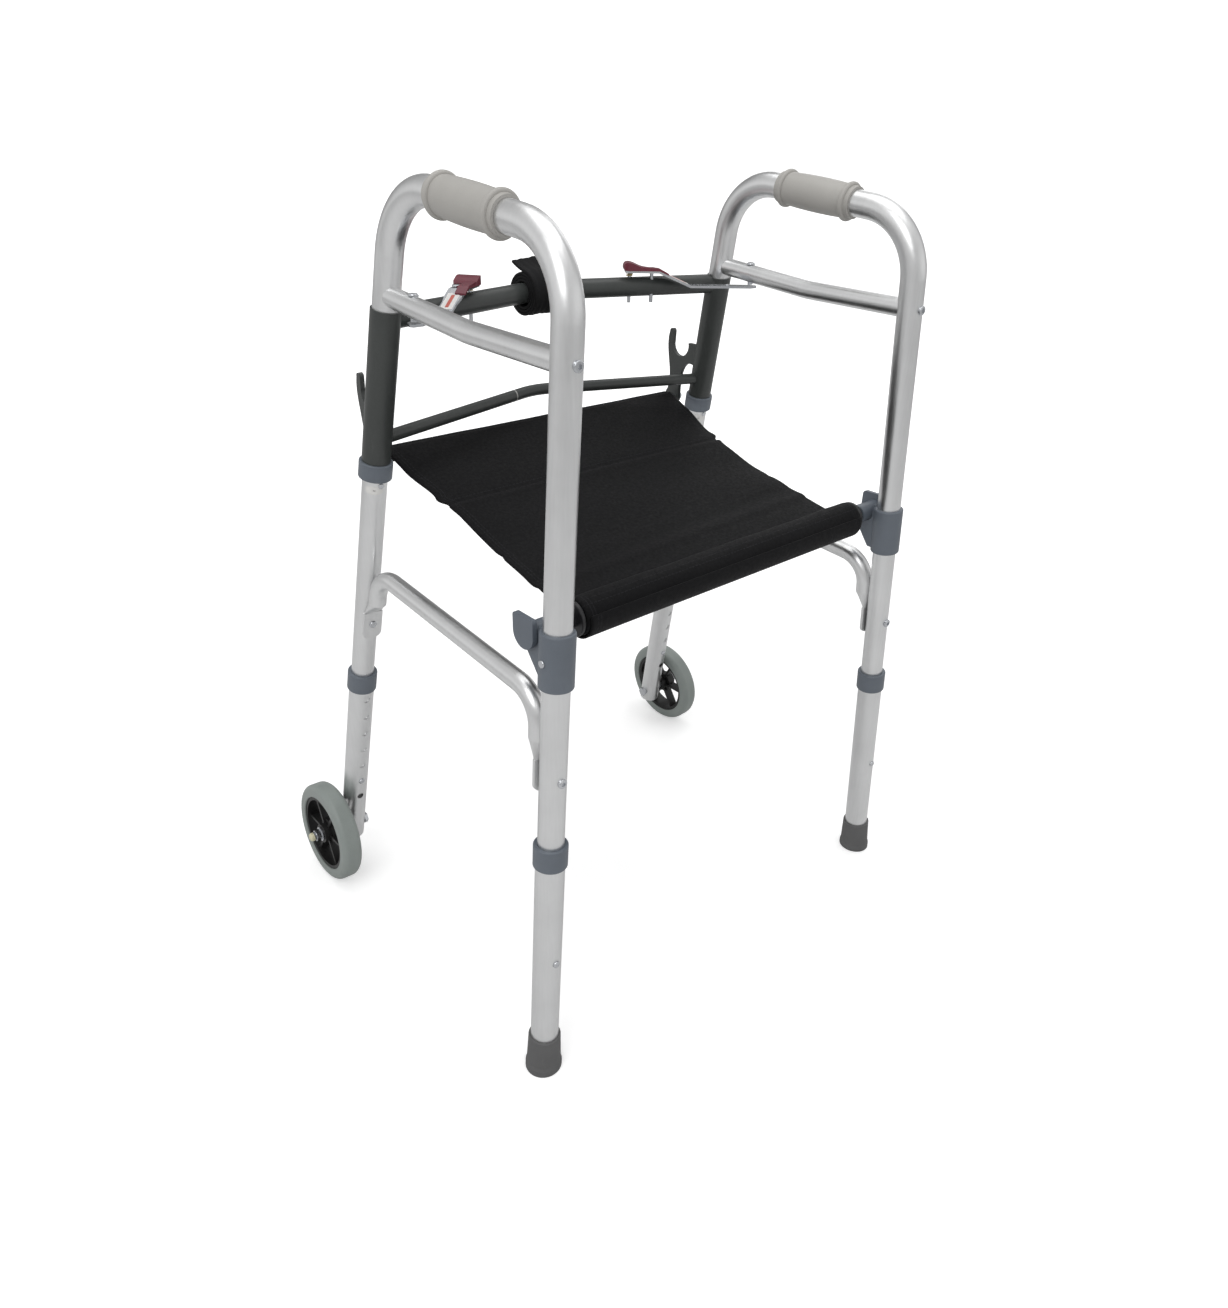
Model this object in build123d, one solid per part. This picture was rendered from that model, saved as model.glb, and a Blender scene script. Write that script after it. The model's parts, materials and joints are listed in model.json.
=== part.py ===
from build123d import *
import math
import os

# Folding walking frame with a sling seat, two wheels and four adjustable legs. Millimetres, +Z up.

# ---- driving dimensions ----
FLOOR_HALF_WIDTH = 271.5  # leg axes at floor height
SPLAY_DEG = 4.0  # each side frame leans inward going up
FRONT_LEG_Y = 423.0  # front leg axis at floor height, forward of the rear leg
FRONT_LEAN = -0.197  # forward travel of the front leg per unit of height
REAR_LEAN = 0.029
TUBE_R = 12.7  # side frame tube
TUBE_BORE_R = 11.4
OUTER_R = 14.3  # leg extensions and sleeves slide over the side frame tube
OUTER_BORE_R = 12.78
HANDLE_FRONT_CORNER_H = 818.0  # where leg and handle lines cross
HANDLE_REAR_CORNER_H = 793.0
HANDLE_BEND_R = 65.0
INNER_LEG_END = 126.0  # lower end of the side frame tube
GRIP_LENGTH = 96.0
GRIP_MID_Y = 146.0
GRIP_BORE_R = 12.75
GRIP_END_R = 15.3
GRIP_MID_R = 17.0
GRIP_FLANGE_R = 18.6
GRIP_FLANGE_T = 6.0
BRACE_R = 9.5
BRACE_BORE_R = 8.0
UPPER_BRACE_FRONT_H = 724.2
UPPER_BRACE_BEND = (150.0, 711.5)
UPPER_BRACE_REAR_H = 708.6
UPPER_BRACE_BEND_R = 150.0
LOWER_BRACE_FRONT_CORNER_H = 444.0
LOWER_BRACE_REAR_CORNER_H = 423.0
LOWER_BRACE_BEND_R = 34.0
LOWER_BRACE_FRONT_RIVET_H = 376.0
LOWER_BRACE_REAR_RIVET_H = 353.0
TAB_T = 3.2  # flattened tube ends
TAB_W = 22.0
TAB_BELOW_RIVET = 20.0
TAB_ABOVE_RIVET = 14.0
FLATTEN_LENGTH = 16.0
SLEEVE_BOTTOM_H = 549.5
SLEEVE_TOP_H = 712.0
SLEEVE_COLLAR_R = 16.9
SLEEVE_COLLAR_TOP_H = 565.5
COLLAR_R = 16.6
COLLAR_HEIGHT = 24.0
COLLAR_LIP = 2.0
COLLAR_LIP_BORE_R = 12.85
REAR_EXTENSION_TOP_H = 279.0
FRONT_EXTENSION_TOP_H = 304.0
REAR_EXTENSION_BOTTOM_H = 9.0
FRONT_EXTENSION_BOTTOM_H = 46.0
HOLE_PITCH = 25.4
HOLE_COUNT = 7
HOLE_R = 4.0
TOP_HOLE_H = 272.0
BUTTON_HOLE_INDEX = 5
BUTTON_R = 3.6
BUTTON_STAND_OUT = 2.2
TIP_BASE_R = 19.0
TIP_TOP_R = 16.6
TIP_TOP_H = 43.0
TIP_FOOT_H = 9.0
WHEEL_R = 63.5
TYRE_INNER_R = 48.5
TYRE_WIDTH = 25.0
TYRE_CROWN_R = 7.0
WHEEL_OFFSET = 31.0  # wheel mid plane outward of the leg axis
HUB_RIM_T = 4.5
HUB_RIM_WIDTH = 21.0
HUB_BOSS_R = 12.0
HUB_BOSS_WIDTH = 25.0
SPOKE_COUNT = 6
SPOKE_T = 3.6
SPOKE_WIDTH = 13.0
AXLE_R = 4.0
AXLE_CLEARANCE = 0.05
CROSSBAR_R = 10.5
CROSSBAR_END_Z = 701.5
CROSSBAR_MID = (346.0, 702.5)  # y and z of the forward bow
CROSSBAR_BEND_R = 110.0
LOWER_BAR_R = 6.35
LOWER_BAR_END_Z = 585.0
LOWER_BAR_MID = (357.0, 593.0)
LOWER_BAR_BEND_R = 90.0
HOOK_PLATE_T = 5.0
HOOK_PLATE_INSET = 11.0  # from the sleeve axis to the middle of the plate
ROD_Y = 345.5
ROD_Z = 556.0
ROD_R = 5.0
SEAT_BAR_Y = 40.0
SEAT_BAR_Z = 484.0
SEAT_BAR_R = 9.5
CAP_NECK_R = 10.0
ROLL_HALF_LENGTH = 198.0
ROLL_R = 18.0
ROLL_BORE_R = 12.5
RING_R = 17.0
RING_T = 4.0
CAP_INNER_X = 214.0
CAP_FLANGE_X = 247.2
CAP_FLANGE_T = 4.8
CAP_FLANGE_W = 28.0
CAP_FLANGE_TOP = 17.0  # above the bar's axis
CAP_FLANGE_SHIFT = 3.2  # forward of the bar's axis
CRADLE_HALF_T = 8.0
CRADLE_GAP = 0.45
CRADLE_WALL = 5.5
CRADLE_LIP_Z = 486.0
CLAMP_R = 15.9
CLAMP_BOTTOM_H = 443.0
CLAMP_TOP_H = 495.0
WRAP_R = 25.0
WRAP_HALF_WIDTH = 27.0
SOFT_GAP = 0.4  # between soft solids and their neighbours
SLING_T = 2.4
SLING_FRONT_HALF = 208.0
SLING_MID_HALF = 193.0
SLING_REAR_HALF = 195.0
SLING_SAG = 8.0
HEM_R = 8.6
HEM_BORE_R = 5.4
LATCH_START = (113.0, 313.0, 717.4)  # pivot end of the latch plate, underside
LATCH_AIM = (221.0, 234.0)  # where the latch plate meets the brace pin, seen from above
LATCH_T = 2.5
LATCH_DROP = 15.2
LATCH_PIN_GAP = 1.3
LATCH_RAMP = (27.0, 64.0)  # where the plate steps down, along it from the start
LATCH_PIVOT = -6.0
LATCH_SCREW = (20.0, 4.2)
LATCH_SLOT = (84.0, 36.0, 5.0)  # middle, length and width

# ---- frames of reference ----
SIDE = Location((FLOOR_HALF_WIDTH, 0, 0), (0, -SPLAY_DEG, 0))  # right side plane
FRONT_DIR = Vector(0, FRONT_LEAN, 1).normalized()
REAR_DIR = Vector(0, REAR_LEAN, 1).normalized()


def front_point(h):
    """A point of the front leg axis in the side plane."""
    return Vector(0, FRONT_LEG_Y + FRONT_LEAN * h, h)


def rear_point(h):
    return Vector(0, REAR_LEAN * h, h)


def front_plane(h):
    """Plane across the front leg, X outward and Z up the leg."""
    return Plane(origin=front_point(h), x_dir=(1, 0, 0), z_dir=FRONT_DIR)


def rear_plane(h):
    return Plane(origin=rear_point(h), x_dir=(1, 0, 0), z_dir=REAR_DIR)


def on_right(shape):
    """Side-plane shape moved to the right of the frame."""
    return SIDE * shape


def to_left(shape):
    return mirror(shape, about=Plane.YZ)


# ---- shared shapes ----
def rod(start, end, radius, bore=0.0):
    axis = Vector(end) - Vector(start)
    plane = Plane(origin=Vector(start), z_dir=axis.normalized())
    body = plane * Cylinder(radius, axis.length, align=(Align.CENTER, Align.CENTER, Align.MIN))
    if bore:
        body -= plane * Cylinder(bore, axis.length, align=(Align.CENTER, Align.CENTER, Align.MIN))
    return body


def bent_tube(points, bend, radius, bore=0.0):
    path = FilletPolyline(*points, radius=bend)
    section = Plane(origin=path @ 0, z_dir=path % 0)
    body = sweep(section * Circle(radius), path=path)
    if bore:
        body -= sweep(section * Circle(bore), path=path)
    return body


def dome(plane, radius, height):
    """Domed rivet or screw head standing on a plane."""
    head = Cylinder(radius, height, align=(Align.CENTER, Align.CENTER, Align.MIN))
    top = head.edges().sort_by(Axis.Z)[-1]
    return plane * fillet(top, height * 0.75)


def ring(plane, outer, inner, height, soften=0.0):
    body = Cylinder(outer, height, align=(Align.CENTER, Align.CENTER, Align.MIN))
    if soften:
        body = fillet(body.edges().filter_by(GeomType.CIRCLE), soften)
    body -= Cylinder(inner, height, align=(Align.CENTER, Align.CENTER, Align.MIN))
    return plane * body


def facing(origin, normal):
    return Plane(origin=Vector(origin), z_dir=Vector(normal))


# ---- side frame ----
def side_tube():
    points = [
        front_point(INNER_LEG_END),
        front_point(HANDLE_FRONT_CORNER_H),
        rear_point(HANDLE_REAR_CORNER_H),
        rear_point(INNER_LEG_END),
    ]
    body = bent_tube(points, HANDLE_BEND_R, TUBE_R, TUBE_BORE_R)
    for plane_at in (front_plane, rear_plane):
        body -= button_drill(plane_at(button_height()), HOLE_R + 0.4, TUBE_R)
    return body - side_screws()


def button_height():
    return TOP_HOLE_H - HOLE_PITCH * BUTTON_HOLE_INDEX


def button_drill(plane, radius, depth):
    """A short cylinder out through the rear-facing wall of a leg."""
    wall = Plane(origin=plane.origin, x_dir=plane.x_dir, z_dir=-plane.y_dir)
    start = depth - 4
    return wall * Pos(0, 0, start) * Cylinder(radius, 10, align=(Align.CENTER, Align.CENTER, Align.MIN))


def grip():
    front = front_point(HANDLE_FRONT_CORNER_H)
    along = (rear_point(HANDLE_REAR_CORNER_H) - front).normalized()
    middle = front + along * ((front.Y - GRIP_MID_Y) / abs(along.Y))
    half = GRIP_LENGTH / 2
    plane = Plane(origin=middle, x_dir=(1, 0, 0), z_dir=along)
    with BuildSketch(Plane.XZ) as profile:
        with BuildLine():
            Line((GRIP_BORE_R, -half), (GRIP_END_R, -half))
            ThreePointArc((GRIP_END_R, -half), (GRIP_MID_R, 0), (GRIP_END_R, half))
            Line((GRIP_END_R, half), (GRIP_BORE_R, half))
            Line((GRIP_BORE_R, half), (GRIP_BORE_R, -half))
        make_face()
    body = revolve(profile.sketch, Axis.Z)
    for z in (-half + GRIP_FLANGE_T * 0.8, half - GRIP_FLANGE_T * 1.8):
        flange = Pos(0, 0, z) * Cylinder(
            GRIP_FLANGE_R, GRIP_FLANGE_T, align=(Align.CENTER, Align.CENTER, Align.MIN)
        )
        flange = fillet(flange.edges().filter_by(GeomType.CIRCLE), GRIP_FLANGE_T * 0.45)
        flange -= Pos(0, 0, z) * Cylinder(
            GRIP_BORE_R, GRIP_FLANGE_T, align=(Align.CENTER, Align.CENTER, Align.MIN)
        )
        body += flange
    return plane * body


def upper_brace():
    points = [
        front_point(UPPER_BRACE_FRONT_H),
        Vector(0, *UPPER_BRACE_BEND),
        rear_point(UPPER_BRACE_REAR_H),
    ]
    body = bent_tube(points, UPPER_BRACE_BEND_R, BRACE_R, BRACE_BORE_R)
    body -= rod(front_point(UPPER_BRACE_FRONT_H - 60), front_point(UPPER_BRACE_FRONT_H + 40), TUBE_R)
    body -= rod(rear_point(UPPER_BRACE_REAR_H - 40), rear_point(UPPER_BRACE_REAR_H + 40), TUBE_R)
    return body - latch_pin()


def flat_end(top_plane, tab_length):
    """Tube end flattened to a tab: a loft from the round tube, then the flat."""
    low = Plane(
        origin=top_plane.origin - top_plane.z_dir * FLATTEN_LENGTH + top_plane.y_dir * (BRACE_R - TAB_T / 2),
        x_dir=top_plane.x_dir,
        z_dir=top_plane.z_dir,
    )
    neck = loft([top_plane * Circle(BRACE_R), low * Ellipse(TAB_W / 2, TAB_T / 2)])
    tab = Pos(0, 0, -tab_length / 2) * Box(TAB_W, TAB_T, tab_length)
    tab = fillet(tab.edges().filter_by(Axis.Y).group_by(Axis.Z)[0], TAB_W * 0.35)
    return neck + low * tab


def lower_brace():
    offset = TUBE_R + BRACE_R
    front_top_h = LOWER_BRACE_FRONT_RIVET_H + TAB_ABOVE_RIVET + FLATTEN_LENGTH
    rear_top_h = LOWER_BRACE_REAR_RIVET_H + TAB_ABOVE_RIVET + FLATTEN_LENGTH
    back = Vector(0, -offset, 0)
    ahead = Vector(0, offset, 0)
    start = front_point(front_top_h) + back
    end = rear_point(rear_top_h) + ahead
    points = [
        start,
        front_point(LOWER_BRACE_FRONT_CORNER_H) + back,
        rear_point(LOWER_BRACE_REAR_CORNER_H) + ahead,
        end,
    ]
    body = bent_tube(points, LOWER_BRACE_BEND_R, BRACE_R, BRACE_BORE_R)
    front = Plane(origin=start, x_dir=(1, 0, 0), z_dir=FRONT_DIR)
    rear = Plane(origin=end, x_dir=(-1, 0, 0), z_dir=REAR_DIR)
    tab = TAB_ABOVE_RIVET + TAB_BELOW_RIVET
    body += flat_end(front, tab)
    body += flat_end(rear, tab)
    body -= rod(front_point(300), front_point(500), TUBE_R)
    body -= rod(rear_point(300), rear_point(500), TUBE_R)
    return body


def side_screws():
    """Heads of the screws and rivets that hold the braces and the cradle clamp to the legs."""
    heads = []
    for h in (LOWER_BRACE_REAR_RIVET_H, UPPER_BRACE_REAR_H):
        surface = rear_point(h) + Vector(0, -TUBE_R + 0.5, 0)
        heads.append(socket_screw(facing(surface, (0, -1, 0)), 4.6, 3.0))
    surface = front_point(LOWER_BRACE_FRONT_RIVET_H) + Vector(0, -TUBE_R - TAB_T, 0)
    heads.append(dome(facing(surface, -front_plane(0).y_dir), 4.2, 1.8))
    surface = rear_point(LOWER_BRACE_REAR_RIVET_H) + Vector(0, TUBE_R + TAB_T, 0)
    heads.append(dome(facing(surface, rear_plane(0).y_dir), 4.2, 1.8))
    surface = rear_point((CLAMP_BOTTOM_H + CLAMP_TOP_H) / 2) + Vector(CLAMP_R, 0, 0)
    heads.append(dome(facing(surface, (1, 0, 0)), 3.6, 1.6))
    surface = front_point(SLEEVE_BOTTOM_H - 9) + Vector(0, -TUBE_R, 0)
    heads.append(dome(facing(surface, -front_plane(0).y_dir), 3.0, 1.4))
    body = Compound(children=heads)
    return body


def socket_screw(plane, radius, height):
    head = Cylinder(radius, height, align=(Align.CENTER, Align.CENTER, Align.MIN))
    head = fillet(head.edges().sort_by(Axis.Z)[-1], height * 0.35)
    head -= Pos(0, 0, height - 1.6) * extrude(RegularPolygon(radius * 0.5, 6), 1.6)
    return plane * head


def latch_pin():
    """Screw through the upper brace: domed head on top, pin below for the latch plate."""
    y = LATCH_AIM[1]
    run = front_point(UPPER_BRACE_FRONT_H).Y - UPPER_BRACE_BEND[0]
    slope = (UPPER_BRACE_FRONT_H - UPPER_BRACE_BEND[1]) / run
    h = UPPER_BRACE_BEND[1] + slope * (y - UPPER_BRACE_BEND[0])
    top = Vector(0, y, h + BRACE_R - 0.4)
    plate_top = (LATCH_START[2] - LATCH_DROP + LATCH_T) / math.cos(math.radians(SPLAY_DEG))
    tip = Vector(0, y, plate_top + LATCH_PIN_GAP)
    body = rod(tip, top, 3.0)
    body += dome(facing(top, (0, 0, 1)), 4.6, 2.6)
    return body


# ---- seat cradle ----
def seat_cradle():
    """Clamp round the rear leg with an upward-open cup for the seat's rear bar (right side)."""
    clamp = on_right(rod(rear_point(CLAMP_BOTTOM_H), rear_point(CLAMP_TOP_H), CLAMP_R))
    clamp = fillet(clamp.edges().filter_by(GeomType.CIRCLE), 1.6)
    x_mid = (SIDE * Pos(*rear_point(SEAT_BAR_Z))).position.X
    cup_r = CAP_NECK_R + CRADLE_GAP + CRADLE_WALL
    leg_y = REAR_LEAN * SEAT_BAR_Z
    with BuildSketch(Plane.YZ) as profile:
        with Locations((SEAT_BAR_Y, SEAT_BAR_Z)):
            Circle(cup_r)
        with BuildLine():
            Polyline(
                (leg_y, CLAMP_BOTTOM_H + 2),
                (leg_y + CLAMP_R, CLAMP_BOTTOM_H + 2),
                (SEAT_BAR_Y + cup_r * 0.85, SEAT_BAR_Z - cup_r * 0.53),
                (SEAT_BAR_Y, SEAT_BAR_Z),
                (leg_y, CRADLE_LIP_Z),
                close=True,
            )
        make_face()
    cup = extrude(profile.sketch, CRADLE_HALF_T, both=True)
    slot_r = CAP_NECK_R + CRADLE_GAP
    cup -= Pos(0, SEAT_BAR_Y, SEAT_BAR_Z) * Rot(0, 90, 0) * Cylinder(slot_r, 60)
    cup -= Pos(0, SEAT_BAR_Y, SEAT_BAR_Z + 25) * Box(60, 2 * slot_r, 50)
    cup -= Pos(0, SEAT_BAR_Y + 25, CRADLE_LIP_Z + 25) * Box(60, 60, 50)
    body = clamp + Pos(x_mid, 0, 0) * cup
    body -= Pos(x_mid, SEAT_BAR_Y, SEAT_BAR_Z) * Rot(0, 90, 0) * Cylinder(slot_r, 60)
    body -= Pos(x_mid, SEAT_BAR_Y, SEAT_BAR_Z + 25) * Box(60, 2 * slot_r, 50)
    body -= on_right(rod(rear_point(CLAMP_BOTTOM_H - 5), rear_point(CLAMP_TOP_H + 5), TUBE_R))
    return body


# ---- legs, tips and wheels ----
def extension(plane_at, bottom, top, holes):
    body = rod(plane_at(bottom).origin, plane_at(top).origin, OUTER_R, OUTER_BORE_R)
    for i in holes:
        plane = plane_at(TOP_HOLE_H - HOLE_PITCH * i)
        radius = BUTTON_R + 0.15 if i == BUTTON_HOLE_INDEX else HOLE_R
        body -= button_drill(plane, radius, OUTER_R)
    return body


def collar(plane_at, top, radius, height):
    """Plastic collar over a tube end, with a lip closing on the inner tube."""
    upward = (Align.CENTER, Align.CENTER, Align.MIN)
    foot = Pos(0, 0, COLLAR_LIP - height)
    body = foot * Cylinder(radius, height, align=upward)
    body = fillet(body.edges().filter_by(GeomType.CIRCLE), 1.3)
    body -= foot * Cylinder(OUTER_R, height - COLLAR_LIP, align=upward)
    body -= foot * Cylinder(COLLAR_LIP_BORE_R, height, align=upward)
    return plane_at(top) * body


def sleeve_collar():
    """Plastic collar under the sleeve, turned upside down."""
    upward = (Align.CENTER, Align.CENTER, Align.MIN)
    height = SLEEVE_COLLAR_TOP_H - SLEEVE_BOTTOM_H
    body = Pos(0, 0, -COLLAR_LIP) * Cylinder(SLEEVE_COLLAR_R, height + COLLAR_LIP, align=upward)
    body = fillet(body.edges().filter_by(GeomType.CIRCLE), 1.3)
    body -= Cylinder(OUTER_R, height, align=upward)
    body -= Pos(0, 0, -COLLAR_LIP) * Cylinder(COLLAR_LIP_BORE_R, height, align=upward)
    return on_right(front_plane(SLEEVE_BOTTOM_H) * body)


def button(plane_at):
    """Snap button head filling its hole through the leg extension's wall."""
    plane = plane_at(button_height())
    wall = Plane(origin=plane.origin, x_dir=plane.x_dir, z_dir=-plane.y_dir)
    start = TUBE_R + 0.2
    length = OUTER_R + BUTTON_STAND_OUT - start
    head = Cylinder(BUTTON_R, length, align=(Align.CENTER, Align.CENTER, Align.MIN))
    head = fillet(head.edges().sort_by(Axis.Z)[-1], 1.6)
    return wall * Pos(0, 0, start) * head


def rubber_tip():
    """Tapered foot over the rear extension, cut flat at the floor (right side, in place)."""
    below = 6.0
    with BuildSketch(Plane.XZ) as profile:
        with BuildLine():
            Polyline((0, -below), (TIP_BASE_R, -below), (TIP_BASE_R, TIP_FOOT_H * 0.6))
            Line((TIP_BASE_R, TIP_FOOT_H * 0.6), (TIP_BASE_R - 1.2, TIP_FOOT_H))
            Line((TIP_BASE_R - 1.2, TIP_FOOT_H), (TIP_TOP_R, TIP_TOP_H - 1))
            Line((TIP_TOP_R, TIP_TOP_H - 1), (TIP_TOP_R - 1, TIP_TOP_H))
            Polyline((TIP_TOP_R - 1, TIP_TOP_H), (0, TIP_TOP_H), (0, -below))
        make_face()
    body = rear_plane(0) * revolve(profile.sketch, Axis.Z)
    body -= rod(rear_point(REAR_EXTENSION_BOTTOM_H), rear_point(TIP_TOP_H + 5), OUTER_R)
    size = 200
    return on_right(body) & (Pos(FLOOR_HALF_WIDTH, 0, size / 2) * Box(size, size, size))


def axle_plane():
    """Plane at the wheel's middle, Z outward along the axle. The tilted tyre just touches the floor."""
    lean = math.radians(SPLAY_DEG)
    half_flat = TYRE_WIDTH / 2 - TYRE_CROWN_R
    reach_r = WHEEL_R - TYRE_CROWN_R
    rise = reach_r * math.cos(lean) + half_flat * math.sin(lean) + TYRE_CROWN_R
    height = (rise - WHEEL_OFFSET * math.sin(lean)) / math.cos(lean)
    centre = front_point(height) + Vector(WHEEL_OFFSET, 0, 0)
    return Plane(origin=centre, x_dir=(0, 1, 0), z_dir=(1, 0, 0))


def tyre():
    with BuildSketch(Plane.XZ) as profile:
        with Locations(((TYRE_INNER_R + WHEEL_R) / 2, 0)):
            Rectangle(WHEEL_R - TYRE_INNER_R, TYRE_WIDTH)
        outer = profile.vertices().group_by(Axis.X)[-1]
        fillet(outer, TYRE_CROWN_R)
        inner = profile.vertices().group_by(Axis.X)[0]
        fillet(inner, 1.5)
    return axle_plane() * revolve(profile.sketch, Axis.Z)


def wheel_hub():
    rim_in = TYRE_INNER_R - HUB_RIM_T
    body = Cylinder(TYRE_INNER_R, HUB_RIM_WIDTH) - Cylinder(rim_in, HUB_RIM_WIDTH)
    body += Cylinder(HUB_BOSS_R, HUB_BOSS_WIDTH)
    body += Cylinder(HUB_BOSS_R + 5, HUB_BOSS_WIDTH * 0.3)
    reach = rim_in + 1
    for i in range(SPOKE_COUNT):
        spoke = Pos(reach / 2, 0, 0) * Box(reach, SPOKE_T, SPOKE_WIDTH)
        body += Rot(0, 0, 360 / SPOKE_COUNT * i) * spoke
    body -= Cylinder(AXLE_R + AXLE_CLEARANCE, HUB_BOSS_WIDTH + 2)
    return axle_plane() * body


def axle_bolt():
    """Bolt across the leg with its head inside and a spacer between leg and hub."""
    plane = axle_plane()
    head_z = -WHEEL_OFFSET - OUTER_R
    nut_z = HUB_BOSS_WIDTH / 2 + 0.6
    shank = Pos(0, 0, head_z) * Cylinder(
        AXLE_R, nut_z - head_z + 12, align=(Align.CENTER, Align.CENTER, Align.MIN)
    )
    head = Pos(0, 0, head_z - 4.5) * extrude(RegularPolygon(7.2, 6), 4.5)
    spacer_end = -HUB_BOSS_WIDTH / 2 - 0.5
    spacer_start = -WHEEL_OFFSET + OUTER_R
    spacer = Pos(0, 0, spacer_start) * Cylinder(
        8, spacer_end - spacer_start, align=(Align.CENTER, Align.CENTER, Align.MIN)
    )
    return plane * (shank + head + spacer)


def axle_nut():
    """Locking nut with a washer and a nylon tip over the bolt end."""
    start = HUB_BOSS_WIDTH / 2 + 0.6
    washer = Pos(0, 0, start) * Cylinder(9, 1.4, align=(Align.CENTER, Align.CENTER, Align.MIN))
    nut = Pos(0, 0, start + 1.4) * extrude(RegularPolygon(7.4, 6), 6.5)
    tip = Pos(0, 0, start + 7.9) * Cylinder(5.4, 7.5, align=(Align.CENTER, Align.CENTER, Align.MIN))
    tip = fillet(tip.edges().sort_by(Axis.Z)[-1], 3.0)
    body = washer + nut + tip
    body -= Pos(0, 0, start) * Cylinder(AXLE_R, 12, align=(Align.CENTER, Align.CENTER, Align.MIN))
    return axle_plane() * body


def front_extension():
    body = extension(front_plane, FRONT_EXTENSION_BOTTOM_H, FRONT_EXTENSION_TOP_H, range(HOLE_COUNT))
    return body - axle_plane() * Cylinder(AXLE_R, 200)


# ---- front frame ----
def sleeve():
    return on_right(rod(front_point(SLEEVE_BOTTOM_H), front_point(SLEEVE_TOP_H), OUTER_R, OUTER_BORE_R))


def sleeve_axis_at(z):
    """World point of the right sleeve's axis at a height."""
    h = z / math.cos(math.radians(SPLAY_DEG))
    return (SIDE * Pos(*front_point(h))).position


def cross_member(end_z, middle, bend, radius):
    end = sleeve_axis_at(end_z)
    points = [(-end.X, end.Y, end.Z), (0, *middle), (end.X, end.Y, end.Z)]
    body = bent_tube(points, bend, radius, radius - 1.5)
    keep_out = on_right(rod(front_point(450), front_point(800), OUTER_R))
    return body - keep_out - to_left(keep_out)


def lower_bar():
    return cross_member(LOWER_BAR_END_Z, LOWER_BAR_MID, LOWER_BAR_BEND_R, LOWER_BAR_R)


def hook_plate():
    """Plate welded on the inner front of the right sleeve: hook above, tail with the rod hole below."""
    with BuildSketch(Plane.YZ) as profile:
        with BuildLine():
            Polyline((296, 604), (296, 627), (322, 627))
            ThreePointArc((322, 627), (338.5, 609.5), (349, 626))
            Line((349, 626), (348.5, 637))
            ThreePointArc((348.5, 637), (352, 641), (355.5, 637))
            Spline((355.5, 637), (357.5, 620), (354.5, 600), (355, 566))
            ThreePointArc((355, 566), (346, 546.5), (335.5, 558))
            Spline((335.5, 558), (334.5, 580), (325, 600), (310, 601))
            Line((310, 601), (296, 604))
        make_face()
        fillet(profile.vertices().sort_by_distance((0, 322, 627))[0], 3)
    x = hook_plate_x()
    body = Pos(x, 0, 0) * extrude(profile.sketch, HOOK_PLATE_T / 2, both=True)
    body -= Pos(x, ROD_Y, ROD_Z) * Rot(0, 90, 0) * Cylinder(ROD_R - 1.5, 20)
    body -= on_right(rod(front_point(450), front_point(800), OUTER_R))
    return body - lower_bar()


def hook_plate_x():
    return sleeve_axis_at(590).X - HOOK_PLATE_INSET


def hook_inner_x():
    return hook_plate_x() - HOOK_PLATE_T / 2


def seat_front_rod():
    """Rod between the hook tails, its ends turned down to pass through them."""
    shoulder = hook_inner_x()
    stud = shoulder + HOOK_PLATE_T + 9
    body = rod((-shoulder, ROD_Y, ROD_Z), (shoulder, ROD_Y, ROD_Z), ROD_R)
    body += rod((-stud, ROD_Y, ROD_Z), (stud, ROD_Y, ROD_Z), ROD_R - 1.5)
    return body


def rod_nuts():
    """Washer and nut outside each hook tail."""
    x = hook_inner_x() + HOOK_PLATE_T
    plane = Plane(origin=(x, ROD_Y, ROD_Z), x_dir=(0, 1, 0), z_dir=(1, 0, 0))
    body = Cylinder(7, 1.2, align=(Align.CENTER, Align.CENTER, Align.MIN))
    body += Pos(0, 0, 1.2) * extrude(RegularPolygon(6.2, 6), 5)
    body -= Cylinder(ROD_R - 1.5, 20)
    body = plane * body
    return Compound(children=[body, to_left(body)])


def crossbar_wrap():
    """Foam pad round the middle of the crossbar."""
    y, z = CROSSBAR_MID
    body = Pos(0, y - 7.5, z) * Rot(0, 90, 0) * Cylinder(WRAP_R, 2 * WRAP_HALF_WIDTH)
    body = fillet(body.edges().filter_by(GeomType.CIRCLE), 2.5)
    end = sleeve_axis_at(CROSSBAR_END_Z)
    points = [(-end.X, end.Y, end.Z), (0, *CROSSBAR_MID), (end.X, end.Y, end.Z)]
    return body - bent_tube(points, CROSSBAR_BEND_R, CROSSBAR_R + 0.3)


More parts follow.
